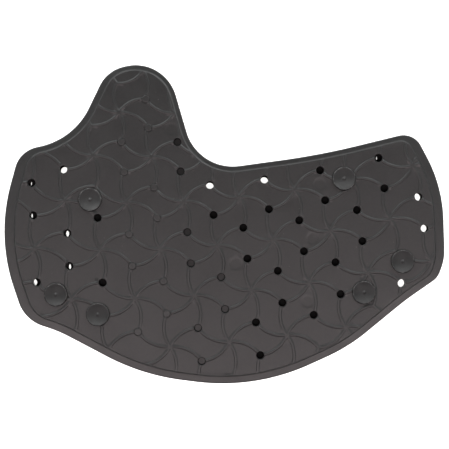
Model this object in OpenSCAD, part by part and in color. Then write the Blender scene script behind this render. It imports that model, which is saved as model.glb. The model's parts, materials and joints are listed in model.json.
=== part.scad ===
// Snowboard stomp pad: a moulded rubber tread with six grip studs, on a foam-tape backing with its liner.
// Millimetres, +Z up, X along the pad's length. The origin is the centre of the liner's underside.

/* [Tread] */
// thickness of the thin border that runs round the pad
border_t = 1.5; // [1.2:0.1:1.8]
// thickness of the raised deck inside the border
deck_t = 2.3; // [2.1:0.1:2.8]
// how much wider the border is than its usual width, all the way round
border_grow = 0; // [-0.6:0.1:0.6]
// width of the curved ribs
rib_w = 1.7; // [1.2:0.1:2.2]
// height of the ribs above the deck
rib_h = 0.4; // [0.2:0.05:0.6]
// diameter of the holes and bosses where three ribs meet
hole_d = 3.6; // [2.8:0.1:4]
// depth of the blind dimples
dimple_h = 1.3; // [0.6:0.1:1.6]

/* [Studs] */
// diameter of a stud's dished head
head_d = 10.7; // [9:0.1:11.5]
// height of a stud's head above the deck
head_h = 1; // [0.8:0.1:1.4]
// depth of the dish in a stud's head
dish_h = 0.75; // [0.4:0.05:0.9]
// diameter of a stud's stem
stem_d = 4; // [3:0.1:5]

/* [Backing] */
// thickness of the foam layer
foam_t = 1; // [0.9:0.1:1.6]
// thickness of each adhesive film
film_t = 0.15; // [0.1:0.01:0.2]
// thickness of the paper release liner
liner_t = 0.2; // [0.12:0.02:0.3]
// distance from the pad's edge to the edge of the foam and films
backing_inset = 2; // [1.5:0.1:3]

/* [Hidden] */
// The pad's edge as the corners of a straight-sided polygon, clockwise: x, y, the radius that rounds the
// corner, and the border's usual width along the side that follows.
EDGE = [
    [-103.7, -5.8, 80, 5.1],
    [-93.2, 33.2, 13, 3.1],
    [-68.5, 38.7, 32, 3.3],
    [-53.4, 69.9, 16, 2.6],
    [-27.2, 75.4, 19, 2.4],
    [-12.1, 23.8, 22, 2.6],
    [43.3, 31.4, 349, 2.6],
    [85.8, 41.8, 9, 4.5],
    [98.9, 17.1, 65, 4.6],
    [99.9, -15.6, 22, 4.2],
    [96.8, -24.4, 9, 3.7],
    [82.2, -34.5, 140, 3.7],
    [56, -56, 82, 3.7],
    [13.7, -75.1, 96, 3.7],
    [-37.6, -68.6, 101, 3.9],
    [-75, -48.9, 62, 3.9],
    [-90.9, -43.6, 17, 4.9]
];

// The ribs follow a triangular lattice stretched over the pad. A place on it is [u, k]: u counts along
// a row, and k counts thirds of a row down from the top. Six ribs spring from each place on a whole row, and
// they meet in threes between the rows.
// Holes that open down to the liner
DRAIN_HOLES = [
    [-1, 4], [-1.5, 5], [-1.5, 7], [-1, 8], [-1, 10], [-1.5, 11],
    [1.5, 5], [2.5, 5], [4.5, 5], [5, 8], [5, 10], [4.5, 13]
];
// Holes that the foam closes from below
GRIP_HOLES = [
    [-0.5, 7], [-0.5, 11], [1.5, 7], [2.5, 7], [3.5, 5], [3.5, 7], [4.5, 7],
    [2, 8], [3, 8], [4, 8], [2, 10], [3, 10], [4, 10], [2.5, 11], [3.5, 11],
    [2.5, 13], [3.5, 13], [2, 14], [3, 14], [2, 16]
];
DIMPLES = [[1, 2], [1, 4], [1, 8], [1, 10], [1.5, 11], [1.5, 13], [1, 14], [1, 16]];
BOSSES = [
    [0.5, -1], [0.5, 1], [0, 2], [0, 4], [0.5, 5], [0.5, 7],
    [0, 8], [0, 10], [0.5, 11], [0.5, 13], [0, 14]
];
// The backing's ports are punched out of register with the drain holes over them. For each drain hole in turn,
// how far off the port in the bond film lies, and how far off the one in the foam and its mount film.
PORT_SHIFTS = [
    [[0.3, -0.7], [0.3, -0.7]],
    [[-2, -0.3], [1, -0.3]],
    [[-2.3, -0.2], [0.5, -0.2]],
    [[-1.2, -0.3], [0.9, -0.3]],
    [[-1.3, -0.4], [1.2, -0.4]],
    [[-2, -0.2], [-2, -0.2]],
    [[-0.1, -0.8], [-0.1, -0.8]],
    [[-0.1, -0.8], [-0.1, -0.8]],
    [[-2.1, 0], [1.1, 0]],
    [[-0.6, -0.3], [-0.6, -0.3]],
    [[-0.5, -0.1], [-0.5, -0.1]],
    [[-0.2, 0], [-0.2, 0]]
];
STUDS = [[-61, 11], [-76.5, -32], [-57.5, -41], [80.5, -17], [63, -31], [54, 20.5]];
// Faint round marks that the mould's ejector pins leave in the deck
EJECTOR_MARKS = [[-24, 43], [43, 18], [40, -6.5], [5, -18], [37.5, -35]];
mark_d = 5.5;
mark_h = 0.05;

release_gap = 0.02;
liner_inset = 1.2;
rib_sink = 0.3;
rib_stop = 1.2;
hub_d = 3.8;
joint_d = 3;
stem_play = 0.05;
rivet_d = 5.4;
rivet_h = 0.35;
washer_d = 8.6;
washer_t = 0.45;
pocket_d = 9.2;
head_edge_h = 0.35;
head_bevel = 0.3;
head_rim_w = 0.25;
pip_d = 1.8;
pip_h = 0.3;
cut_over = 1;

z_film = liner_t + release_gap;
z_foam = z_film + film_t;
z_bond = z_foam + foam_t;
z_tread = z_bond + film_t;
z_deck = z_tread + deck_t;
z_washer = z_tread - washer_t;

$fn = 64;

// ---- the edge: straight sides joined by true arcs ----
arc_bite = 0.004;
function unit(v) = v / norm(v);
function xy(c) = [c[0], c[1]];
function turn(a, b) = a[0] * b[1] - a[1] * b[0];
function side(e, i) = unit(xy(e[(i + 1) % len(e)]) - xy(e[i]));
function before(e, i) = side(e, (i + len(e) - 1) % len(e));
function is_convex(e, i) = turn(before(e, i), side(e, i)) < 0;
function outward(d) = [-d[1], d[0]];
function crossing(p, d, q, f) = p + d * turn(q - p, f) / turn(d, f);

// The edge with each side moved inwards by its own width in w.
function inset(e, w) = [
    for (i = [0:len(e) - 1])
    let (
        d = before(e, i),
        f = side(e, i),
        wd = w[(i + len(e) - 1) % len(e)],
        wf = w[i],
        c = crossing(xy(e[i]) - outward(d) * wd, d, xy(e[i]) - outward(f) * wf, f)
    )
    [c[0], c[1], e[i][2] + (is_convex(e, i) ? -1 : 1) * (wd + wf) / 2]
];

function half_angle(e, i) = acos(-before(e, i) * side(e, i)) / 2;
function arc_centre(e, i) =
    xy(e[i]) + unit(side(e, i) - before(e, i)) * e[i][2] / sin(half_angle(e, i));
function arc_ends(e, i) =
    let (t = e[i][2] / tan(half_angle(e, i))) [xy(e[i]) - before(e, i) * t, xy(e[i]) + side(e, i) * t];

// What lies outside corner i's arc, between its two ends, taken past the straight sides by cut_over.
module corner_piece(e, i) {
    c = arc_centre(e, i);
    ends = arc_ends(e, i);
    difference() {
        polygon([
            c,
            ends[0] + unit(ends[0] - c) * cut_over,
            xy(e[i]) + unit(xy(e[i]) - c) * 2 * cut_over,
            ends[1] + unit(ends[1] - c) * cut_over
        ]);
        translate(c) circle(r = e[i][2] + arc_bite);
    }
}

// A plate of height h with the rounded edge e, from z = 0 up.
module plate(e, h) {
    difference() {
        union() {
            linear_extrude(h) polygon([for (c = e) xy(c)]);
            for (i = [0:len(e) - 1]) if (!is_convex(e, i)) linear_extrude(h) corner_piece(e, i);
        }
        translate([0, 0, -cut_over])
        for (i = [0:len(e) - 1]) if (is_convex(e, i)) linear_extrude(h + 2 * cut_over) corner_piece(e, i);
    }
}

// ---- the lattice ----
row_0 = 3;
column_0 = 2;
// A place's position: u and k measured from the lattice's middle, with terms up to the third power.
function place(p) =
    let (u = p[0] - column_0, r = p[1] / 3 - row_0)
    [
        9.32 + 25.33 * u + 2.82 * r + 0.45 * u * r - 0.02 * u * u + 0.03 * r * r
            + 0.15 * u * u * u - 0.01 * u * r * r,
        -8.65 + 2.71 * u - 21.02 * r + 0.14 * u * r + 0.61 * u * u - 0.32 * r * r
            + 0.01 * u * u * u - 0.1 * u * u * r
    ];
// The six places where a centre's ribs end.
SPOKES = [[0.5, -1], [0, -2], [-0.5, -1], [-0.5, 1], [0, 2], [0.5, 1]];

function crosses(a, b, p) =
    (a[1] > p[1]) != (b[1] > p[1]) && p[0] < (b[0] - a[0]) * (p[1] - a[1]) / (b[1] - a[1]) + a[0];
function is_inside(p, e) =
    len([for (i = [0:len(e) - 1]) if (crosses(xy(e[i]), xy(e[(i + 1) % len(e)]), p)) i]) % 2 == 1;

DECK = inset(EDGE, [for (c = EDGE) c[3] + border_grow]);
BACKING = inset(EDGE, [for (c = EDGE) backing_inset]);
LINER = inset(EDGE, [for (c = EDGE) liner_inset]);

// A rib is a 60 degree arc, so its radius is the distance between its ends. It stops short of both, inside
// the boss there.
module rib(a, b) {
    r = norm(b - a);
    aim = atan2(b[1] - a[1], b[0] - a[0]);
    short = rib_stop / r * 180 / PI;
    translate([a[0] + r * cos(aim - 60), a[1] + r * sin(aim - 60), -rib_sink])
    rotate(aim + 60 + short)
    rotate_extrude(angle = 60 - 2 * short)
    translate([r - rib_w / 2, 0])
    square([rib_w, rib_h + rib_sink]);
}

module stub(p, d) {
    translate([p[0], p[1], -rib_sink]) cylinder(d = d, h = rib_h + rib_sink);
}

HUBS = [
    for (row = [-1:6], column = [-3:6])
    [column + (row % 2 == 0 ? 0 : 0.5), 3 * row]
];
// Below row 0 the remainder is negative, so a row's parity is taken from its square.
MEETINGS = [
    for (row = [-1:6], column = [-3:6], third = [1, 2])
    [column + ((row * row + third) % 2 == 0 ? 0 : 0.5), 3 * row + third]
];
DRILLED = concat(DRAIN_HOLES, GRIP_HOLES, DIMPLES);
function has(list, p) = len([for (q = list) if (q == p) q]) > 0;

module ribs() {
    for (h = HUBS) {
        if (is_inside(place(h), DECK)) stub(place(h), hub_d);
        for (s = SPOKES)
            if (is_inside(place(h), DECK) || is_inside(place(h + s), DECK))
                rib(place(h), place(h + s));
    }
    for (m = MEETINGS)
        if (is_inside(place(m), DECK) && !has(DRILLED, m))
            stub(place(m), has(BOSSES, m) ? hole_d : joint_d);
}

// ---- the tread ----
module at_places(list) {
    for (p = list) translate(place(p)) children();
}

module tread_pad() {
    color([0.07, 0.068, 0.066])
    translate([0, 0, z_tread])
    difference() {
        union() {
            plate(EDGE, border_t);
            difference() {
                plate(DECK, deck_t);
                for (m = EJECTOR_MARKS)
                    translate([m[0], m[1], deck_t - mark_h]) cylinder(d = mark_d, h = cut_over);
            }
            intersection() {
                translate([0, 0, deck_t]) ribs();
                plate(DECK, deck_t + 2 * rib_h);
            }
        }
        at_places(DRAIN_HOLES) translate([0, 0, -cut_over]) cylinder(d = hole_d, h = deck_t + 3 * cut_over);
        at_places(GRIP_HOLES) translate([0, 0, -cut_over]) cylinder(d = hole_d, h = deck_t + 3 * cut_over);
        at_places(DIMPLES) translate([0, 0, deck_t - dimple_h]) cylinder(d = hole_d, h = dimple_h + cut_over);
        for (s = STUDS) translate(s) {
            translate([0, 0, deck_t]) cylinder(d = head_d + 2 * stem_play, h = cut_over);
            translate([0, 0, -cut_over]) cylinder(d = stem_d + 2 * stem_play, h = deck_t + 3 * cut_over);
        }
    }
}

// ---- the backing ----
// Layer 0 is the bond film and layer 1 is the foam with its mount film.
module ports(layer, h) {
    for (i = [0 : len(DRAIN_HOLES) - 1])
        translate(place(DRAIN_HOLES[i]) + PORT_SHIFTS[i][layer]) cylinder(d = hole_d, h = h);
}

module sheet(e, z, t) {
    translate([0, 0, z])
    difference() {
        plate(e, t);
        translate([0, 0, -cut_over]) children();
    }
}

module stud_pockets(h) {
    for (s = STUDS) translate(s) cylinder(d = pocket_d, h = h);
}

module bond_adhesive() {
    color([0.05, 0.05, 0.05]) sheet(BACKING, z_bond, film_t) {
        ports(0, film_t + 2 * cut_over);
        stud_pockets(film_t + 2 * cut_over);
    }
}

module foam_underlay() {
    color([0.03, 0.03, 0.03]) sheet(BACKING, z_foam, foam_t) {
        ports(1, foam_t + 2 * cut_over);
        stud_pockets(foam_t + 2 * cut_over);
    }
}

module mount_adhesive() {
    color([0.75, 0.75, 0.7]) sheet(BACKING, z_film, film_t) ports(1, film_t + 2 * cut_over);
}

module release_liner() {
    color([0.93, 0.93, 0.92]) plate(LINER, liner_t);
}

// ---- the studs ----
// Half of a stud's section before its head is dished, from the riveted tail up the stem to the head.
function stud_section() = [
    [0, z_washer - rivet_h],
    [rivet_d / 2, z_washer - rivet_h],
    [rivet_d / 2, z_washer],
    [stem_d / 2, z_washer],
    [stem_d / 2, z_deck],
    [head_d / 2, z_deck],
    [head_d / 2, z_deck + head_edge_h],
    [head_d / 2 - head_bevel, z_deck + head_h],
    [0, z_deck + head_h]
];

function cap_radius(half_w, h) = (half_w * half_w + h * h) / (2 * h);

module grip_stud(s) {
    dish_r = cap_radius(head_d / 2 - head_bevel - head_rim_w, dish_h);
    pip_r = cap_radius(pip_d / 2, pip_h);
    z_dish = z_deck + head_h - dish_h;
    color([0.1, 0.1, 0.1]) translate(s) {
        difference() {
            rotate_extrude() polygon(stud_section());
            translate([0, 0, z_dish + dish_r]) sphere(dish_r);
        }
        translate([0, 0, z_dish + pip_h - pip_r]) sphere(pip_r);
    }
}

module stud_washer(s) {
    color([0.6, 0.6, 0.6])
    translate([s[0], s[1], z_washer])
    difference() {
        cylinder(d = washer_d, h = washer_t);
        translate([0, 0, -cut_over]) cylinder(d = stem_d + 2 * stem_play, h = washer_t + 2 * cut_over);
    }
}

tread_pad();
bond_adhesive();
foam_underlay();
mount_adhesive();
release_liner();
for (i = [1:len(STUDS)]) grip_stud(STUDS[i - 1]);
for (i = [1:len(STUDS)]) stud_washer(STUDS[i - 1]);
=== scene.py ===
"""Looks of the snowboard stomp pad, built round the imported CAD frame: the moulded rubber tread with its
pinwheel ribs, the dished studs, the foam and adhesive backing, and the paper release liner.

Shapes are worked out in millimetres, as in the CAD source, and turned into metres when a mesh
is made."""

import json
import math

import bmesh
import bpy
import numpy as np
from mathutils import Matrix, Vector
from mathutils.geometry import delaunay_2d_cdt

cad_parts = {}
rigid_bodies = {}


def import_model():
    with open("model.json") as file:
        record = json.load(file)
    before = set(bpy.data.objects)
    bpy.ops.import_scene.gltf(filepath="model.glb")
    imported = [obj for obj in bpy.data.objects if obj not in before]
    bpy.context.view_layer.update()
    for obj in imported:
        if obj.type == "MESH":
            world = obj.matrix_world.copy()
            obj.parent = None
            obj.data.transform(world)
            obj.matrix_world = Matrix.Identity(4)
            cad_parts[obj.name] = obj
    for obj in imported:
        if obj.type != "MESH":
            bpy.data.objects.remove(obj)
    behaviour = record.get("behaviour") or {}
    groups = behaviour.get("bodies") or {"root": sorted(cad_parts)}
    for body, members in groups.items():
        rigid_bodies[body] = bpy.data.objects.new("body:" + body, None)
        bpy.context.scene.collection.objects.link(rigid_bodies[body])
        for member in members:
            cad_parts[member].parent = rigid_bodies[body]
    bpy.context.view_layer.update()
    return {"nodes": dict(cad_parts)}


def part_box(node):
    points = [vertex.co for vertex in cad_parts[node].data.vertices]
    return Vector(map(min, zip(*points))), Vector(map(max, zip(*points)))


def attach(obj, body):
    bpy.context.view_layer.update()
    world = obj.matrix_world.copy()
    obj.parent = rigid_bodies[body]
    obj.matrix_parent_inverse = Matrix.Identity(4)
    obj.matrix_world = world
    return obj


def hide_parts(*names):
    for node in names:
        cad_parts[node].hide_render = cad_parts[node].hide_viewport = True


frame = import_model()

MM = 0.001


def low_z(node):
    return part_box(node)[0].z / MM


def high_z(node):
    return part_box(node)[1].z / MM


# ---- the part's own measures, in millimetres ----
Z_TREAD = low_z("tread_pad")
BORDER_T = 1.5
DECK_T = 2.3
Z_DECK = Z_TREAD + DECK_T
RIB_H = 0.4
HOLE_R = 1.8
DIMPLE_H = 1.3
STEM_R = 2.0
STEM_HOLE_R = 2.05
HEAD_R = 5.35
HEAD_CUT_R = 5.4
HEAD_H = 1.0
DISH_H = 0.75
BACKING_INSET = 2.0
POCKET_R = 4.6
MARK_R = 2.75
MARK_H = 0.05

# The pad's edge as the corners of a straight-sided polygon, clockwise. Each row holds x, y, the radius that
# rounds the corner, and the border's width along the side that follows.
EDGE = np.array(
    [
        [-103.7, -5.8, 80, 5.1],
        [-93.2, 33.2, 13, 3.1],
        [-68.5, 38.7, 32, 3.3],
        [-53.4, 69.9, 16, 2.6],
        [-27.2, 75.4, 19, 2.4],
        [-12.1, 23.8, 22, 2.6],
        [43.3, 31.4, 349, 2.6],
        [85.8, 41.8, 9, 4.5],
        [98.9, 17.1, 65, 4.6],
        [99.9, -15.6, 22, 4.2],
        [96.8, -24.4, 9, 3.7],
        [82.2, -34.5, 140, 3.7],
        [56, -56, 82, 3.7],
        [13.7, -75.1, 96, 3.7],
        [-37.6, -68.6, 101, 3.9],
        [-75, -48.9, 62, 3.9],
        [-90.9, -43.6, 17, 4.9],
    ],
    float,
)
BORDER_W = EDGE[:, 3]
# Places on the ribs' lattice: u counts along a row and k counts thirds of a row.
DRAIN_HOLES = [
    (-1, 4), (-1.5, 5), (-1.5, 7), (-1, 8), (-1, 10), (-1.5, 11),
    (1.5, 5), (2.5, 5), (4.5, 5), (5, 8), (5, 10), (4.5, 13),
]
GRIP_HOLES = [
    (-0.5, 7), (-0.5, 11), (1.5, 7), (2.5, 7), (3.5, 5), (3.5, 7), (4.5, 7),
    (2, 8), (3, 8), (4, 8), (2, 10), (3, 10), (4, 10), (2.5, 11), (3.5, 11),
    (2.5, 13), (3.5, 13), (2, 14), (3, 14), (2, 16),
]
DIMPLES = [(1, 2), (1, 4), (1, 8), (1, 10), (1.5, 11), (1.5, 13), (1, 14), (1, 16)]
BOSSES = [
    (0.5, -1), (0.5, 1), (0, 2), (0, 4), (0.5, 5), (0.5, 7),
    (0, 8), (0, 10), (0.5, 11), (0.5, 13), (0, 14),
]
# How far each port in the foam is punched out of register with the drain hole over it.
PORT_SHIFTS = [
    (0.3, -0.7), (1, -0.3), (0.5, -0.2), (0.9, -0.3), (1.2, -0.4), (-2, -0.2),
    (-0.1, -0.8), (-0.1, -0.8), (1.1, 0), (-0.6, -0.3), (-0.5, -0.1), (-0.2, 0),
]
STUDS = [(-61, 11), (-76.5, -32), (-57.5, -41), (80.5, -17), (63, -31), (54, 20.5)]
EJECTOR_MARKS = [(-24, 43), (43, 18), (40, -6.5), (5, -18), (37.5, -35)]
# The lattice: rows, columns, the place in the middle, and the steps from a hub to its ribs' far ends.
ROWS = range(-1, 7)
COLUMNS = range(-3, 7)
MIDDLE_COLUMN, MIDDLE_ROW = 2, 3
SPOKES = [(0.5, -1), (0, -2), (-0.5, -1), (-0.5, 1), (0, 2), (0.5, 1)]


def place(p):
    """A lattice place's position. In each sum the first three terms are the middle and the two steps, and
    the others bend the lattice."""
    u, r = p[0] - MIDDLE_COLUMN, p[1] / 3 - MIDDLE_ROW
    x = (
        9.32 + 25.33 * u + 2.82 * r
        + 0.45 * u * r - 0.01 * u * r * r + 0.03 * r * r + 0.15 * u**3 - 0.02 * u * u
    )
    y = (
        -8.65 + 2.71 * u - 21.02 * r
        + 0.14 * u * r - 0.32 * r * r + 0.61 * u * u - 0.1 * u * u * r + 0.01 * u**3
    )
    return np.array([x, y])


# ---- outlines ----
def unit(v):
    return v / np.linalg.norm(v, axis=-1, keepdims=True)


def turn(a, b):
    return a[..., 0] * b[..., 1] - a[..., 1] * b[..., 0]


def arcs_of(w):
    """The edge's corner arcs with each side moved inwards by w.

    Gives the arcs' centres, radii, first angles, sweeps, first points and last points."""
    p = EDGE[:, :2]
    after = unit(np.roll(p, -1, 0) - p)
    before = np.roll(after, 1, 0)
    w_after = np.broadcast_to(w, len(p))
    w_before = np.roll(w_after, 1)
    a = p - np.stack([-before[:, 1], before[:, 0]], 1) * w_before[:, None]
    b = p - np.stack([-after[:, 1], after[:, 0]], 1) * w_after[:, None]
    corner = a + before * (turn(b - a, after) / turn(before, after))[:, None]
    sign = np.where(turn(before, after) < 0, -1, 1)
    r = EDGE[:, 2] + sign * (w_before + w_after) / 2
    half = np.arccos(-(before * after).sum(1)) / 2
    centre = corner + unit(after - before) * (r / np.sin(half))[:, None]
    first = corner - before * (r / np.tan(half))[:, None]
    last = corner + after * (r / np.tan(half))[:, None]
    a0 = np.arctan2(*(first - centre).T[::-1])
    a1 = np.arctan2(*(last - centre).T[::-1])
    sweep = (a1 - a0 + math.pi) % (2 * math.pi) - math.pi
    return centre, r, a0, sweep, first, last


def loop(w, pitch):
    """Points round the edge moved inwards by w, one width or one a side. Loops of one pitch pair up."""
    _, r, _, sweep, first, last = arcs_of(0)
    arc_steps = np.ceil(np.abs(r * sweep) / pitch).astype(int)
    gap = np.linalg.norm(np.roll(first, -1, 0) - last, axis=1)
    side_steps = np.maximum(1, np.ceil(gap / pitch)).astype(int)
    centre, r, a0, sweep, first, last = arcs_of(w)
    rows = []
    for i in range(len(EDGE)):
        a = a0[i] + sweep[i] * np.arange(arc_steps[i]) / arc_steps[i]
        rows.append(centre[i] + r[i] * np.stack([np.cos(a), np.sin(a)], 1))
        t = np.arange(side_steps[i])[:, None] / side_steps[i]
        rows.append(last[i] + (first[(i + 1) % len(EDGE)] - last[i]) * t)
    return np.concatenate(rows)


def circle(centre, r, count):
    a = 2 * math.pi * np.arange(count) / count
    return np.asarray(centre) + r * np.stack([np.cos(a), np.sin(a)], 1)


def inside(points, outline):
    """For each point, whether it lies inside the closed outline."""
    x, y = points[:, 0], points[:, 1]
    odd = np.zeros(len(points), bool)
    for a, b in zip(outline, np.roll(outline, -1, 0)):
        if a[1] != b[1]:
            straddles = (a[1] > y) != (b[1] > y)
            odd ^= straddles & (x < (b[0] - a[0]) * (y - a[1]) / (b[1] - a[1]) + a[0])
    return odd


# ---- the ribs' lattice ----
DECK_LOOP = loop(BORDER_W, 1.5)
HUBS = [(c + (0.5 if row % 2 else 0), 3 * row) for row in ROWS for c in COLUMNS]
MEETINGS = [
    (c + (0 if (row + third) % 2 == 0 else 0.5), 3 * row + third)
    for row in ROWS
    for c in COLUMNS
    for third in (1, 2)
]


def on_deck(places):
    """Those places that lie on the deck."""
    found = inside(np.array([place(p) for p in places]), DECK_LOOP)
    return [p for p, ok in zip(places, found) if ok]


def rib_arcs():
    """Every rib as a 60 degree arc from a hub: centre x, y, radius, the angle of its middle."""
    hubs = set(on_deck(HUBS))
    rows = []
    for h in HUBS:
        for s in SPOKES:
            far = (h[0] + s[0], h[1] + s[1])
            if h in hubs or on_deck([far]):
                a, b = place(h), place(far)
                r = np.linalg.norm(b - a)
                aim = math.atan2(b[1] - a[1], b[0] - a[0])
                centre = a + r * np.array([math.cos(aim - math.pi / 3), math.sin(aim - math.pi / 3)])
                rows.append([*centre, r, aim + math.pi / 2])
    return np.array(rows)


RIBS = rib_arcs()
RIB_HALF_W = 0.7
# How full the ribs' round section is, and how sharply ribs that meet keep their own shapes.
RIB_FULLNESS = 0.6
RIB_MERGE = 12


def rib_height(p):
    """The ribs' height at each point, from 0 on the deck to 1 on a rib's crest."""
    total = np.zeros(len(p))
    for cx, cy, r, middle in RIBS:
        reach = r + 1
        near = (np.abs(p[:, 0] - cx) < reach) & (np.abs(p[:, 1] - cy) < reach)
        q = p[near] - [cx, cy]
        angle = (np.arctan2(q[:, 1], q[:, 0]) - middle + math.pi) % (2 * math.pi) - math.pi
        past = np.clip(angle, -math.pi / 6, math.pi / 6) + middle
        foot = r * np.stack([np.cos(past), np.sin(past)], 1)
        d = np.linalg.norm(q - foot, axis=1) / RIB_HALF_W
        total[near] += np.clip(1 - d * d, 0, 1) ** (RIB_FULLNESS * RIB_MERGE)
    return np.minimum(1, total ** (1 / RIB_MERGE))


def smooth(a, b, x):
    """Goes softly from 0 at a to 1 at b."""
    t = np.clip((x - a) / (b - a), 0, 1)
    return t * t * (3 - 2 * t)


DIMPLE_AT = np.array([place(p) for p in DIMPLES])
BOSS_AT = np.array([place(p) for p in on_deck(BOSSES)])
MARK_AT = np.array(EJECTOR_MARKS, float)
STUD_AT = np.array(STUDS, float)


def nearest(p, centres):
    """Each point's distance to the nearest centre."""
    return np.min([np.linalg.norm(p - c, axis=1) for c in centres], axis=0)


# How far the deck is sunk, so that its slow waves stay under its plane.
WAVES_H = 0.022
# The ejector marks' rims, from the floor to the deck.
MARK_RIM = (MARK_R - 0.12, MARK_R + 0.05)
# A boss's side, from its flat top outwards, and the groove round it, which cuts partly into the ribs.
BOSS_SIDE = (1.55, 1.8)
GROOVE_R = 1.76
GROOVE_W = 0.12
GROOVE_DEPTH = 0.12
GROOVE_IN_RIBS = 0.6
# How far the deck is sunk under the studs' heads.
UNDER_HEAD_DEPTH = 0.03


def waves(x, y):
    """Two slow waves across the deck."""
    up_and_down = 0.012 * np.sin(x / 6.1 + 1.3 * np.sin(y / 8.3))
    side_to_side = 0.01 * np.sin(y / 4.7 + 1.1 * np.sin(x / 9.2) + 2)
    return up_and_down + side_to_side


def deck_height(p):
    """The deck's height over its own plane: waves, ejector marks, ribs and bosses, cut at the studs."""
    in_mark = 1 - smooth(*MARK_RIM, nearest(p, MARK_AT))
    base = waves(p[:, 0], p[:, 1]) - WAVES_H - MARK_H * in_mark
    to_boss = nearest(p, BOSS_AT)
    groove = np.exp(-(((to_boss - GROOVE_R) / GROOVE_W) ** 2))
    boss = 1 - smooth(*BOSS_SIDE, to_boss)
    raised = np.maximum(rib_height(p) * (1 - GROOVE_IN_RIBS * groove), boss)
    h = base * (1 - raised) + RIB_H * raised - GROOVE_DEPTH * groove
    return np.where(nearest(p, STUD_AT) < HEAD_CUT_R - 0.01, -UNDER_HEAD_DEPTH, h)


# ---- meshes ----
def reached(triangles, walls, point):
    """The triangles that can be reached from one at that point without crossing a wall."""
    walls = {frozenset(w) for w in walls}
    sides = [[frozenset((a, b)), frozenset((b, c)), frozenset((c, a))] for a, b, c in triangles]
    beside = {}
    for t, three in enumerate(sides):
        for side in three:
            beside.setdefault(side, []).append(t)
    todo = [next(t for t, corners in enumerate(triangles) if point in corners)]
    seen = set(todo)
    while todo:
        for side in sides[todo.pop()]:
            if side not in walls:
                fresh = [t for t in beside[side] if t not in seen]
                seen.update(fresh)
                todo += fresh
    return [triangles[t] for t in sorted(seen)]


class Shell:
    """Points in millimetres and the faces between them, gathered piece by piece into one closed mesh."""

    def __init__(self):
        self.points, self.faces, self.count = [], [], 0

    def add(self, xy, z):
        """Adds points at heights z and gives their numbers."""
        xy = np.asarray(xy, float).reshape(-1, 2)
        self.points.append(np.column_stack([xy, np.broadcast_to(z, len(xy))]))
        self.count += len(xy)
        return np.arange(self.count - len(xy), self.count)

    def strip(self, a, b):
        """Joins two closed loops of the same length with quads."""
        self.faces += np.stack([a, np.roll(a, -1), np.roll(b, -1), b], 1).tolist()

    def rings(self, start, steps):
        """Carries on from loop start through more loops, each (points, z). Gives the last one's numbers."""
        for xy, z in steps:
            following = self.add(xy, z)
            self.strip(start, following)
            start = following
        return start

    def cap(self, ring, centre, z):
        """Closes a ring with a fan to its centre."""
        hub = self.add([centre], z)[0]
        self.faces += [[a, b, hub] for a, b in zip(ring.tolist(), np.roll(ring, -1).tolist())]

    def fill(self, outer, holes, inner):
        """Triangles inside the outer loop and outside the holes' loops, through the inner points.

        All three are given as point numbers."""
        used = np.concatenate([outer, *holes, inner]).astype(int)
        xy = np.concatenate(self.points)[used, :2]
        edges, start = [], 0
        for ring in [outer, *holes]:
            n = len(ring)
            edges += [(start + i, start + (i + 1) % n) for i in range(n)]
            start += n
        flat = [Vector(p) for p in xy.tolist()]
        made, _, triangles, source, _, _ = delaunay_2d_cdt(flat, edges, [], 0, 1e-6, True)
        if len(made) != len(xy) or any(len(s) != 1 for s in source):
            raise RuntimeError(f"points met or edges crossed: {len(made)} points from {len(xy)}")
        order = [s[0] for s in source]
        triangles = [tuple(order[i] for i in t) for t in triangles]
        self.faces += used[np.array(reached(triangles, edges, len(xy) - 1))].tolist()

    def make(self, name):
        """Makes the object, with its faces turned outwards and smooth shading."""
        mesh = bpy.data.meshes.new(name)
        mesh.from_pydata((np.concatenate(self.points) * MM).tolist(), [], self.faces)
        bm = bmesh.new()
        bm.from_mesh(mesh)
        bmesh.ops.recalc_face_normals(bm, faces=bm.faces)
        bm.to_mesh(mesh)
        bm.free()
        mesh.shade_smooth()
        obj = bpy.data.objects.new(name, mesh)
        bpy.context.scene.collection.objects.link(obj)
        return obj


class Spread:
    """Keeps the points of different shapes from crowding each other, on a grid of small cells."""

    CELL = 0.2
    HALF_SPAN = [110, 80]
    CELLS = (1100, 800)

    def __init__(self):
        self.taken = np.zeros(self.CELLS, bool)

    def cells(self, p):
        return tuple(((p + self.HALF_SPAN) / self.CELL).astype(int).T)

    def free(self, p):
        """Those points whose cells aren't taken."""
        return p[~self.taken[self.cells(p)]]

    def take(self, p, reach=1):
        """Marks the cells round the points as taken."""
        i, j = self.cells(p)
        for di in range(-reach, reach + 1):
            for dj in range(-reach, reach + 1):
                self.taken[i + di, j + dj] = True


# Where the points lie across a rib, in half widths from its crest, and along it.
RIB_ROWS = [0, 0.35, 0.6, 0.78, 0.9, 0.98, 1.12, 1.38]
RIB_PITCH = 0.75
CLEAR_OF_RIB_END = 2.55


def rib_points():
    """Points in rows across each rib, close together where its sides are steep."""
    across = RIB_HALF_W * np.array(RIB_ROWS)
    across = np.concatenate([-across[:0:-1], across])
    found = []
    for cx, cy, r, middle in RIBS:
        margin = CLEAR_OF_RIB_END / r
        steps = max(2, int(r * (math.pi / 3 - 2 * margin) / RIB_PITCH))
        a = middle + np.linspace(-math.pi / 6 + margin, math.pi / 6 - margin, steps)
        for w in across:
            found.append(np.stack([cx + (r + w) * np.cos(a), cy + (r + w) * np.sin(a)], 1))
    return np.concatenate(found)


HALF_LENGTH = 100
HALF_WIDTH = 72


def hex_points(pitch):
    """A triangular grid over the pad."""
    rows = np.arange(-HALF_WIDTH, HALF_WIDTH, pitch * math.sqrt(3) / 2)
    columns = np.arange(-HALF_LENGTH, HALF_LENGTH, pitch)
    return np.array([(x + (i % 2) * pitch / 2, y) for i, y in enumerate(rows) for x in columns])


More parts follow.
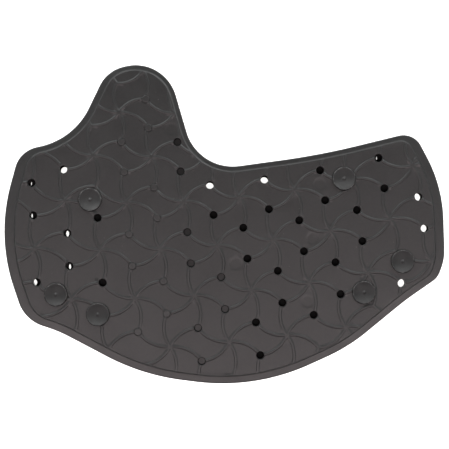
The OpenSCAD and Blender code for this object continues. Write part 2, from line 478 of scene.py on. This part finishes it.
HOLES_AT = np.array([*(place(p) for p in DRAIN_HOLES + GRIP_HOLES + DIMPLES), *STUDS])
EDGE_PITCH = 0.55
TOP_ROUND = 0.4
RIM_W = 0.2
# A hole's rounded rim: distance out from the hole's wall, and drop.
RIM = [(0.12, 0.025), (0.05, 0.08), (0.0, 0.2)]
HOLE_STEPS = 36


def deck_loop(q):
    """A loop that lies q inside the deck's edge."""
    return loop(BORDER_W + q, EDGE_PITCH)


# The pad's outer wall and its wide soft edge: distance in from the pad's edge, and height.
BOTTOM_IN = 0.15
OUTER_WALL = [
    (0.03, 0.1), (0, 0.25), (0, 0.76), (0.05, 0.97), (0.15, 1.11), (0.32, 1.215), (0.6, 1.295),
]
BORDER_TOP = [(1.0, 1.36), (1.4, 1.41)]
# The step from the border up to the deck, a soft S: where it starts and ends, as distances into the deck.
STEP_FROM, STEP_TO = -0.65, 0.27
STEP_LOOPS = (0.12, 0.24, 0.36, 0.48, 0.6, 0.72, 0.84, 0.94)


def step_rise(q):
    """How far up the step from border to deck a place lies, from 0 to 1."""
    return smooth(STEP_FROM, STEP_TO, q)


def tread_edge(shell, bottom):
    """The outer wall, the border and the step up. Gives the loop where the deck's face starts."""
    wall = [(loop(w, EDGE_PITCH), Z_TREAD + z) for w, z in OUTER_WALL + BORDER_TOP]
    ring = shell.rings(bottom, wall)
    ring = shell.rings(ring, [(deck_loop(STEP_FROM), Z_TREAD + BORDER_T)])
    for t in STEP_LOOPS:
        q = STEP_FROM + (STEP_TO - STEP_FROM) * t
        xy = deck_loop(q)
        rise = step_rise(q)
        # The ribs fade over the top of the step.
        over = smooth(0.5, 1, rise) * np.maximum(0, deck_height(xy))
        ring = shell.rings(ring, [(xy, Z_TREAD + BORDER_T + (DECK_T - BORDER_T) * rise + over)])
    xy = deck_loop(TOP_ROUND)
    return shell.rings(ring, [(xy, Z_DECK + deck_height(xy))])


# The rings of points round the lattice's places: at a hub or a plain meeting, at a boss, and at a hole.
OPEN_RINGS = [0.01, 0.35, 0.65, 0.9, 1.1, 1.3, 1.5, 1.7, 1.95, 2.2, 2.45]
BOSS_RINGS = [0.01, 0.6, 1.2, 1.56, 1.63, 1.7, 1.78, 1.85, 1.92, 2.1, 2.35]
HOLE_RINGS = [2.2, 2.4]
CLEAR_OF_STUD = 0.25


def rings_at(p):
    """The rings of points round one place on the lattice."""
    radii = OPEN_RINGS
    if p in DRAIN_HOLES + GRIP_HOLES + DIMPLES:
        radii = HOLE_RINGS
    elif p in BOSSES:
        radii = BOSS_RINGS
    counts = [6 if r < 0.1 else 16 if r < 0.5 else HOLE_STEPS for r in radii]
    points = np.concatenate([circle(place(p), r, n) for r, n in zip(radii, counts)])
    return points[nearest(points, STUD_AT) > HEAD_CUT_R + CLEAR_OF_STUD]


def deck_points(spread):
    """The points of the deck's face, shape by shape."""
    found = []

    def offer(p, reach=1):
        clear_of_holes = nearest(p, HOLES_AT) > HOLE_R + RIM_W + 0.1
        p = p[inside(p, deck_loop(TOP_ROUND + 0.15)) & clear_of_holes]
        p = spread.free(p)
        spread.take(p, reach)
        found.append(p)

    for c in STUD_AT:
        offer(np.concatenate([circle(c, HEAD_CUT_R + d, 96) for d in (-0.05, 0, 0.15)]))
    offer(np.concatenate([rings_at(p) for p in on_deck(HUBS) + on_deck(MEETINGS)]))
    for c in MARK_AT:
        offer(np.concatenate([circle(c, MARK_R + d, 60) for d in (-0.15, -0.05, 0.07)]))
    ribs = rib_points()
    offer(ribs[nearest(ribs, STUD_AT) > HEAD_CUT_R + CLEAR_OF_STUD], 2)
    offer(hex_points(1.5))
    return np.concatenate(found)


# The foot of a dimple's wall and its floor: distance out from the wall, and height over the floor.
DIMPLE_FLOOR = [(0, 0.16), (-0.05, 0.06), (-0.16, 0), (-0.28, 0), (-0.4, 0), (-1, 0)]


def make_tread():
    """The whole rubber tread as one closed mesh."""
    shell = Shell()
    bottom = shell.add(loop(BOTTOM_IN, EDGE_PITCH), Z_TREAD)
    outer = tread_edge(shell, bottom)
    spread = Spread()
    spread.take(deck_loop(TOP_ROUND), 1)
    through = DRAIN_HOLES + GRIP_HOLES
    top_rings, bottom_rings = [], []
    for p in through + DIMPLES:
        c = place(p)
        xy = circle(c, HOLE_R + RIM_W, HOLE_STEPS)
        top = Z_DECK + deck_height(xy)
        spread.take(xy)
        top_rings.append(shell.add(xy, top))
        rim = [(circle(c, HOLE_R + w, HOLE_STEPS), top - drop) for w, drop in RIM]
        ring = shell.rings(top_rings[-1], rim)
        if p in through:
            wall = [(circle(c, HOLE_R, HOLE_STEPS), Z_TREAD + z) for z in (1.2, 0)]
            bottom_rings.append(shell.rings(ring, wall))
        else:
            z_floor = Z_DECK - DIMPLE_H
            floor = [(circle(c, HOLE_R + w, HOLE_STEPS), z_floor + z) for w, z in DIMPLE_FLOOR]
            shell.cap(shell.rings(ring, floor), c, z_floor)
    for c in STUD_AT:
        xy = circle(c, STEM_HOLE_R, HOLE_STEPS)
        spread.take(xy)
        top_rings.append(shell.add(xy, Z_DECK + deck_height(xy)))
        bottom_rings.append(shell.rings(top_rings[-1], [(xy, Z_TREAD)]))
    xy = deck_points(spread)
    shell.fill(outer, top_rings, shell.add(xy, Z_DECK + deck_height(xy)))
    grid = hex_points(7)
    grid = grid[inside(grid, loop(2, 3)) & (nearest(grid, HOLES_AT) > 3)]
    shell.fill(bottom, bottom_rings, shell.add(grid, Z_TREAD))
    return shell.make("tread")


def lathe(name, profile, centre, steps=72):
    """A closed turned shape from (radius, height) pairs that start and end on the axis."""
    shell = Shell()
    ring = shell.add(circle(centre, profile[1][0], steps), profile[1][1])
    shell.cap(ring, centre, profile[0][1])
    ring = shell.rings(ring, [(circle(centre, r, steps), z) for r, z in profile[2:-1]])
    shell.cap(ring, centre, profile[-1][1])
    return shell.make(name)


# The stud's tail: radius, and height over its end. Its head's edge: distance in from the rim, and height.
TAIL_R = 2.7
STUD_TAIL = [(0, 0), (1.6, 0), (2.35, 0.03), (2.62, 0.12)]
STUD_EDGE = [
    (0.05, 0.04), (0, 0.14), (0, 0.4), (0.02, 0.55), (0.07, 0.72),
    (0.16, 0.87), (0.26, 0.95), (0.38, 0.995), (0.47, 0.985),
]
# The radii of the loops from the dish's rim in to its middle, and the pip there.
DISH_LOOPS = [4.7, 4.5, 4.2, 3.8, 3.3, 2.8, 2.3, 1.8, 1.4, 1.15, 1.0, 0.85, 0.7, 0.55, 0.4, 0.25, 0.12, 0]
PIP_H = 0.3
PIP_R = 1.05
HEAD_RIM_W = 0.55


def stud_profile():
    """From the formed tail up the stem to the dished head with its pip."""
    tail, washer = low_z("grip_stud_1"), low_z("stud_washer_1")
    dish_edge = HEAD_R - HEAD_RIM_W
    dish_r = (dish_edge**2 + DISH_H**2) / (2 * DISH_H)
    rows = [(r, tail + z) for r, z in STUD_TAIL]
    rows += [(TAIL_R, washer - 0.06), (TAIL_R - 0.04, washer)]
    rows += [(STEM_R, z) for z in (washer, Z_DECK - 0.4, Z_DECK)]
    rows += [(r, Z_DECK) for r in (3.6, HEAD_R - 0.17)]
    rows += [(HEAD_R - w, Z_DECK + z) for w, z in STUD_EDGE]
    for r in DISH_LOOPS:
        dish = HEAD_H - DISH_H + dish_r - math.sqrt(dish_r**2 - r * r)
        pip = PIP_H * (0.5 + 0.5 * math.cos(math.pi * min(1, r / PIP_R))) ** 0.8
        rows.append((r, Z_DECK + dish + pip))
    return rows


def washer_profile():
    low, high = low_z("stud_washer_1"), high_z("stud_washer_1")
    hole, rim, soft = STEM_HOLE_R, 4.3, 0.07
    return [
        (hole, low + soft), (hole, high - soft), (hole + soft, high), (rim - soft, high),
        (rim, high - soft), (rim, low + soft), (rim - soft, low), (hole + soft, low),
    ]


def make_washer(name, centre, steps=64):
    shell = Shell()
    profile = washer_profile()
    first = shell.add(circle(centre, profile[0][0], steps), profile[0][1])
    ring = shell.rings(first, [(circle(centre, r, steps), z) for r, z in profile[1:]])
    shell.strip(ring, first)
    return shell.make(name)


def foam_holes():
    """The foam's ports, and its pockets round the studs' tails: centre and radius."""
    ports = [(place(p) + shift, HOLE_R) for p, shift in zip(DRAIN_HOLES, np.array(PORT_SHIFTS))]
    return ports + [(np.array(c, float), POCKET_R) for c in STUDS]


# A cut edge of the foam, which bulges a little: distance in from the edge, and share of the foam's height.
FOAM_SIDE = [(0.02, 0), (-0.04, 0.22), (-0.07, 0.5), (-0.04, 0.78), (0.02, 1)]


def make_foam():
    """The foam layer with its soft cut edges."""
    low, high = low_z("foam_underlay"), high_z("foam_underlay")
    t = high - low
    shell = Shell()
    w = BACKING_INSET + 0.05
    outside = [(loop(w + o, 1.2), low + t * z) for o, z in FOAM_SIDE]
    first = shell.add(*outside[0])
    last = shell.rings(first, outside[1:])
    holes = foam_holes()
    low_rings, high_rings = [], []
    for c, r in holes:
        steps = [(circle(c, r + 0.06 + 0.7 * o, 40), low + t * z) for o, z in FOAM_SIDE]
        low_rings.append(shell.add(*steps[0]))
        high_rings.append(shell.rings(low_rings[-1], steps[1:]))
    grid = hex_points(6)
    clear_of_holes = nearest(grid, [c for c, _ in holes]) > POCKET_R + 1
    grid = grid[inside(grid, loop(4, 3)) & clear_of_holes]
    shell.fill(first, low_rings, shell.add(grid, low))
    shell.fill(last, high_rings, shell.add(grid, high))
    return shell.make("foam_layer")


# ---- materials ----
class Surface:
    """A material made of nodes, with short names for the few kinds of node that it needs."""

    def __init__(self, name):
        self.material = bpy.data.materials.new(name)
        self.material.use_nodes = True
        self.tree = self.material.node_tree
        self.shader = self.tree.nodes["Principled BSDF"]
        self.place = self.node("ShaderNodeTexCoord").outputs["Object"]

    def node(self, kind, **inputs):
        made = self.tree.nodes.new(kind)
        for key, value in inputs.items():
            self.feed(made.inputs[key.replace("_", " ")], value)
        return made

    def feed(self, socket, value):
        if isinstance(value, bpy.types.NodeSocket):
            self.tree.links.new(value, socket)
        else:
            socket.default_value = value

    def noise(self, scale, detail=3.0, roughness=0.55, stretch=None):
        """Soft noise from 0 to 1. Scale is in features per metre."""
        at = self.place
        if stretch:
            at = self.node("ShaderNodeMapping", Vector=at, Scale=stretch).outputs[0]
        made = self.node("ShaderNodeTexNoise", Vector=at, Scale=scale, Detail=detail, Roughness=roughness)
        return made.outputs[0]

    def cells(self, scale):
        """Distance to the nearest of many scattered points."""
        return self.node("ShaderNodeTexVoronoi", Vector=self.place, Scale=scale).outputs["Distance"]

    def spread(self, value, low, high, to_low=0.0, to_high=1.0):
        """Maps the span from low to high onto the one from to_low to to_high, held at both ends."""
        made = self.node("ShaderNodeMapRange", Value=value)
        made.inputs["From Min"].default_value = low
        made.inputs["From Max"].default_value = high
        made.inputs["To Min"].default_value = to_low
        made.inputs["To Max"].default_value = to_high
        return made.outputs[0]

    def math(self, operation, a, b):
        made = self.tree.nodes.new("ShaderNodeMath")
        made.operation = operation
        self.feed(made.inputs[0], a)
        self.feed(made.inputs[1], b)
        return made.outputs[0]

    def mix(self, amount, a, b):
        made = self.tree.nodes.new("ShaderNodeMix")
        made.data_type = "RGBA"
        self.feed(made.inputs[0], amount)
        self.feed(made.inputs[6], a if isinstance(a, bpy.types.NodeSocket) else (*a, 1))
        self.feed(made.inputs[7], b if isinstance(b, bpy.types.NodeSocket) else (*b, 1))
        return made.outputs[2]

    def bump(self, height, depth, strength=1.0, over=None):
        """A bump of that depth in metres, over another bump if one is given."""
        made = self.node("ShaderNodeBump", Height=height, Distance=depth, Strength=strength)
        if over is not None:
            self.feed(made.inputs["Normal"], over)
        return made.outputs[0]

    def attribute(self, name):
        made = self.tree.nodes.new("ShaderNodeAttribute")
        made.attribute_name = name
        return made.outputs["Fac"]

    def finish(self, colour, roughness, normal, **fixed):
        self.feed(self.shader.inputs["Base Color"], colour)
        self.feed(self.shader.inputs["Roughness"], roughness)
        self.feed(self.shader.inputs["Normal"], normal)
        for key, value in fixed.items():
            self.shader.inputs[key.replace("_", " ")].default_value = value
        return self.material


def rubber():
    """Moulded black rubber: fine grain, cloudy patches, specks of dust, a tint on the ejector marks, and
    painted shade in the dimples.
    """
    s = Surface("rubber")
    cloudy = s.spread(s.noise(70, 4), 0.3, 0.7)
    colour = s.mix(cloudy, (0.0115, 0.0115, 0.0115), (0.0155, 0.0155, 0.0155))
    colour = s.mix(s.spread(s.noise(900, 2), 0.35, 0.75, 0, 0.4), colour, (0.022, 0.0215, 0.021))
    dusty = s.math("MULTIPLY", s.spread(s.cells(300), 0.09, 0.03), s.spread(s.noise(45, 2), 0.52, 0.64))
    colour = s.mix(s.math("MULTIPLY", dusty, 0.4), colour, (0.12, 0.115, 0.11))
    mark = s.attribute("mark")
    colour = s.mix(s.math("MULTIPLY", mark, 0.35), colour, (0.014, 0.0138, 0.0135))
    # Painted shade in the dimples: darkens their colour and weakens their reflection, a stand-in for the
    # light that doesn't reach their floors.
    painted_dimple_shade = s.attribute("painted_dimple_shade")
    colour = s.mix(painted_dimple_shade, colour, (0.0015, 0.0015, 0.0015))
    s.feed(s.shader.inputs["Specular IOR Level"], s.spread(painted_dimple_shade, 0, 1, 0.5, 0.02))
    rough = s.spread(s.noise(160, 3), 0.3, 0.7, 0.42, 0.49)
    normal = s.bump(s.noise(60, 2), 0.00025, 0.25)
    normal = s.bump(s.noise(1500, 3, 0.6), 0.00004, 0.5, normal)
    return s.finish(colour, rough, normal)


def nylon():
    """Moulded black nylon of the studs: satin, with a faint cloudy tone and scuffs on the rim."""
    s = Surface("stud_nylon")
    colour = s.mix(s.spread(s.noise(220, 3), 0.35, 0.65), (0.004, 0.004, 0.004), (0.006, 0.006, 0.006))
    scuff = s.math("MULTIPLY", s.attribute("rim"), s.spread(s.noise(1400, 3), 0.52, 0.66))
    colour = s.mix(s.math("MULTIPLY", scuff, 0.5), colour, (0.09, 0.088, 0.085))
    rough = s.spread(s.noise(500, 3), 0.3, 0.7, 0.40, 0.48)
    normal = s.bump(s.noise(1100, 3, 0.6), 0.00002, 0.4)
    return s.finish(colour, rough, normal, Specular_IOR_Level=0.17)


def foam():
    """Black closed-cell foam tape with small open cells on its cut edge, its colour darkened past a real
    foam's as painted shade where it shows through the drain holes.
    """
    s = Surface("foam")
    cells = s.cells(3200)
    # Darker than real black foam: painted shade where the foam shows through the drain holes.
    colour = s.mix(s.spread(cells, 0.05, 0.4), (0.004, 0.004, 0.004), (0.014, 0.0138, 0.0135))
    normal = s.bump(cells, 0.00006, 0.8)
    rough = s.spread(s.noise(300, 2), 0.3, 0.7, 0.85, 0.95)
    return s.finish(colour, rough, normal, Specular_IOR_Level=0.25)


def black_film_painted_shade():
    """Black adhesive film, slightly tacky and wavy, its colour darkened past a real film's as painted shade
    at the bottoms of the grip holes.
    """
    s = Surface("black_film_painted_shade")
    # Near black, darker than a real film: painted shade where it shows at the bottoms of the grip holes.
    colour = s.mix(s.spread(s.noise(400, 3), 0.3, 0.7), (0.0015, 0.0015, 0.0015), (0.003, 0.003, 0.003))
    rough = s.spread(s.noise(90, 3), 0.3, 0.7, 0.6, 0.8)
    return s.finish(colour, rough, s.bump(s.noise(350, 3), 0.00005, 0.4), Specular_IOR_Level=0.1)


def clear_film():
    """Milky acrylic adhesive film with pressed-in mottling."""
    s = Surface("mount_film")
    colour = s.mix(s.spread(s.noise(120, 4), 0.3, 0.7), (0.62, 0.60, 0.53), (0.74, 0.73, 0.68))
    rough = s.spread(s.noise(200, 3), 0.3, 0.7, 0.25, 0.45)
    return s.finish(colour, rough, s.bump(s.noise(260, 4), 0.00006, 0.5), Specular_IOR_Level=0.5)


def liner_paper():
    """Siliconised white paper: short fibres in two directions and a faint cloudiness."""
    s = Surface("liner_paper")
    long_way = s.noise(900, 3, 0.6, (0.25, 1.6, 1))
    cross_way = s.noise(900, 3, 0.6, (1.6, 0.25, 1))
    fibres = s.math("ADD", long_way, cross_way)
    cloudy = s.spread(s.noise(90, 4), 0.3, 0.7)
    colour = s.mix(cloudy, (0.55, 0.548, 0.53), (0.59, 0.588, 0.575))
    colour = s.mix(s.spread(fibres, 1.05, 1.3, 0, 0.35), colour, (0.5, 0.49, 0.47))
    return s.finish(colour, s.spread(cloudy, 0, 1, 0.5, 0.62), s.bump(fibres, 0.00003, 0.5))


def zinc():
    """Zinc-plated steel with a fine brushed look."""
    s = Surface("zinc")
    brushed = s.noise(1200, 3, 0.6, (0.2, 2, 1))
    colour = s.mix(s.spread(brushed, 0.3, 0.7), (0.50, 0.51, 0.53), (0.66, 0.67, 0.68))
    rough = s.spread(s.noise(600, 3), 0.3, 0.7, 0.25, 0.42)
    return s.finish(colour, rough, s.bump(brushed, 0.00001, 0.5), Metallic=1.0)


def give(obj, material):
    obj.data.materials.clear()
    obj.data.materials.append(material)


def paint(obj, name, weight):
    """Stores a number from 0 to 1 at each of the object's points, found from its place in millimetres."""
    points = np.empty(len(obj.data.vertices) * 3, np.float32)
    obj.data.vertices.foreach_get("co", points)
    points = points.reshape(-1, 3) / MM
    layer = obj.data.attributes.new(name, "FLOAT", "POINT")
    layer.data.foreach_set("value", weight(points).astype(np.float32))


# ---- the object ----
# The darkening painted into the dimples: on their floors at the back and at the front of the pad, the two y
# between which it changes, and in the floors' corners.
SHADE_BACK, SHADE_FRONT = 0.5, 0.1
SHADE_BACK_Y, SHADE_FRONT_Y = 10, -50
SHADE_CORNER = 0.88


def dimple_shade(p):
    """Darkening of the dimples by place, a stand-in for the light that doesn't reach their floors."""
    r = nearest(p[:, :2], DIMPLE_AT)
    floor = SHADE_BACK + (SHADE_FRONT - SHADE_BACK) * smooth(SHADE_BACK_Y, SHADE_FRONT_Y, p[:, 1])
    corner = smooth(HOLE_R - 0.36, HOLE_R - 0.2, r)
    down = (r < HOLE_R + 0.02) * smooth(0.1, 0.5, Z_DECK - p[:, 2])
    return down * (floor + (SHADE_CORNER - floor) * corner)


def on_mark(p):
    """1 on the ejector marks, with a soft rim, and 0 elsewhere."""
    on_top = p[:, 2] > Z_DECK - 0.2
    return (1 - smooth(MARK_R - 0.3, MARK_R, nearest(p[:, :2], MARK_AT))) * on_top


def add_tread():
    tread = make_tread()
    # Stores the painted shade of the dimples on the tread's points.
    paint(tread, "painted_dimple_shade", dimple_shade)
    paint(tread, "mark", on_mark)
    give(tread, rubber())
    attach(tread, "pad")
    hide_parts("tread_pad")


def add_studs():
    nylon_skin, zinc_skin = nylon(), zinc()
    for i, c in enumerate(STUDS):

        def near_rim(p):
            """1 on the crest of the head's rim, falling off to both sides."""
            r = np.linalg.norm(p[:, :2] - c, axis=1)
            return np.exp(-(((r - HEAD_R + 0.3) / 0.25) ** 2))

        stud = lathe(f"stud_{i + 1}", stud_profile(), c)
        paint(stud, "rim", near_rim)
        give(stud, nylon_skin)
        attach(stud, "pad")
        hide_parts(f"grip_stud_{i + 1}")
        washer = make_washer(f"washer_{i + 1}", c)
        give(washer, zinc_skin)
        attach(washer, "pad")
        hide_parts(f"stud_washer_{i + 1}")


def add_backing():
    layer = make_foam()
    give(layer, foam())
    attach(layer, "pad")
    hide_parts("foam_underlay")
    # The bond film's colour holds painted shade for the bottoms of the grip holes.
    give(frame["nodes"]["bond_adhesive"], black_film_painted_shade())
    give(frame["nodes"]["mount_adhesive"], clear_film())
    give(frame["nodes"]["release_liner"], liner_paper())


# ---- the studio ----
# What the picture spans at the deck, where its middle lies, and the camera's height over the deck.
FRAME_WIDTH = 0.2033
PICTURE_MIDDLE = (-0.00013, -0.00024)
CAMERA_HEIGHT = 0.5
SENSOR_WIDTH = 36
FLOOR_HALF = 3.0
FLOOR_Z = -0.00005
BACKDROP_H = 2.5
BACKDROP_SIDES = 64
COOL = (0.95, 1.0, 1.0)
WARM = (1.0, 0.88, 0.89)
LAMP_SIZE = 0.3
# Soft lamps in pairs: name, place of the right-hand one, powers of the left one and the right one, colour.
LAMP_PAIRS = [
    ("key", (0.3, 0.55, 0.28), (2.3, 2.3), COOL),
    ("key_side", (0.5, 0.35, 0.35), (0.28, 0.28), COOL),
    ("side", (0.6, 0.05, 0.35), (0.66, 0.66), COOL),
    ("fill", (0.3, -0.28, 0.56), (1.4, 1.5), WARM),
    ("fill_high", (0.2, -0.13, 0.62), (0.38, 0.38), WARM),
]
# The lamps that light the studs alone: place and power.
STUD_LAMP_SIZE = 0.4
STUD_LAMPS = [((0, 0.35, 0.8), 4.3), ((-0.45, 0.5, 0.5), 12), ((0.45, 0.5, 0.5), 8)]
TABLE_LIGHT_POWER = 5.0
TABLE_LIGHT_SPREAD = math.radians(6)
WORLD_STRENGTH = 0.03


def add_camera():
    data = bpy.data.cameras.new("camera")
    data.sensor_width = SENSOR_WIDTH
    data.lens = SENSOR_WIDTH * CAMERA_HEIGHT / FRAME_WIDTH
    data.clip_start = 0.01
    camera = bpy.data.objects.new("camera", data)
    camera.location = (*PICTURE_MIDDLE, Z_DECK * MM + CAMERA_HEIGHT)
    bpy.context.scene.collection.objects.link(camera)
    bpy.context.scene.camera = camera


def add_floor():
    floor_material = bpy.data.materials.new("floor")
    floor_material.use_nodes = True
    shader = floor_material.node_tree.nodes["Principled BSDF"]
    shader.inputs["Base Color"].default_value = (0.86, 0.86, 0.86, 1)
    shader.inputs["Roughness"].default_value = 0.9
    mesh = bpy.data.meshes.new("floor")
    corners = [(-FLOOR_HALF, -FLOOR_HALF, 0), (FLOOR_HALF, -FLOOR_HALF, 0)]
    corners += [(FLOOR_HALF, FLOOR_HALF, 0), (-FLOOR_HALF, FLOOR_HALF, 0)]
    mesh.from_pydata(corners, [], [(0, 1, 2, 3)])
    mesh.materials.append(floor_material)
    floor = bpy.data.objects.new("floor", mesh)
    floor.location.z = FLOOR_Z
    bpy.context.scene.collection.objects.link(floor)
    return floor


def add_backdrop():
    """A pale round wall at the table's edge, for low views. Only the camera sees it."""
    material = bpy.data.materials.new("backdrop")
    material.use_nodes = True
    shader = material.node_tree.nodes["Principled BSDF"]
    shader.inputs["Base Color"].default_value = (0, 0, 0, 1)
    shader.inputs["Specular IOR Level"].default_value = 0
    shader.inputs["Emission Color"].default_value = (0.9, 0.9, 0.9, 1)
    shader.inputs["Emission Strength"].default_value = 1
    n = BACKDROP_SIDES
    ring = circle((0, 0), FLOOR_HALF - 0.05, n)
    points = [(x, y, z) for z in (-0.01, BACKDROP_H) for x, y in ring.tolist()]
    faces = [(i, (i + 1) % n, (i + 1) % n + n, i + n) for i in range(n)]
    mesh = bpy.data.meshes.new("backdrop")
    mesh.from_pydata(points, [], faces)
    mesh.materials.append(material)
    wall = bpy.data.objects.new("backdrop", mesh)
    wall.visible_diffuse = False
    wall.visible_glossy = False
    wall.visible_transmission = False
    wall.visible_shadow = False
    bpy.context.scene.collection.objects.link(wall)


def add_area(name, at, size, power, colour=(1, 1, 1)):
    """A soft square lamp at a point, aimed at the pad."""
    data = bpy.data.lights.new(name, "AREA")
    data.size = size
    data.energy = power
    data.color = colour
    lamp = bpy.data.objects.new(name, data)
    lamp.location = at
    lamp.rotation_euler = (-Vector(at)).to_track_quat("-Z", "Y").to_euler()
    bpy.context.scene.collection.objects.link(lamp)
    return lamp


def add_table_light(floor):
    """Straight-down light for the table and the liner alone, so that they come out white."""
    data = bpy.data.lights.new("table_light", "SUN")
    data.energy = TABLE_LIGHT_POWER
    data.angle = TABLE_LIGHT_SPREAD
    lamp = bpy.data.objects.new("table_light", data)
    bpy.context.scene.collection.objects.link(lamp)
    lit = bpy.data.collections.new("lit_by_table_light")
    lit.objects.link(floor)
    lit.objects.link(frame["nodes"]["release_liner"])
    lamp.light_linking.receiver_collection = lit


def add_stud_lights():
    """Soft lamps for the studs alone, over the lobe's side of the pad, that shade their dishes."""
    lit = bpy.data.collections.new("lit_by_stud_lights")
    for piece in bpy.context.scene.objects:
        if piece.name.startswith("stud_") and piece.type == "MESH":
            lit.objects.link(piece)
    for at, power in STUD_LAMPS:
        lamp = add_area("stud_light", at, STUD_LAMP_SIZE, power)
        lamp.light_linking.receiver_collection = lit


def add_world(strength):
    world = bpy.data.worlds.new("studio")
    world.use_nodes = True
    world.node_tree.nodes["Background"].inputs["Color"].default_value = (1, 1, 1, 1)
    world.node_tree.nodes["Background"].inputs["Strength"].default_value = strength
    bpy.context.scene.world = world


add_camera()
add_table_light(add_floor())
add_backdrop()
add_tread()
add_studs()
add_backing()
add_world(WORLD_STRENGTH)
for side in (-1, 1):
    for name, (x, y, z), powers, colour in LAMP_PAIRS:
        add_area(name, (x * side, y, z), LAMP_SIZE, powers[side > 0], colour)
add_area("fill_front", (0, -0.28, 0.5), 0.25, 0.48, WARM)
add_stud_lights()

bpy.context.scene.view_settings.view_transform = "Standard"
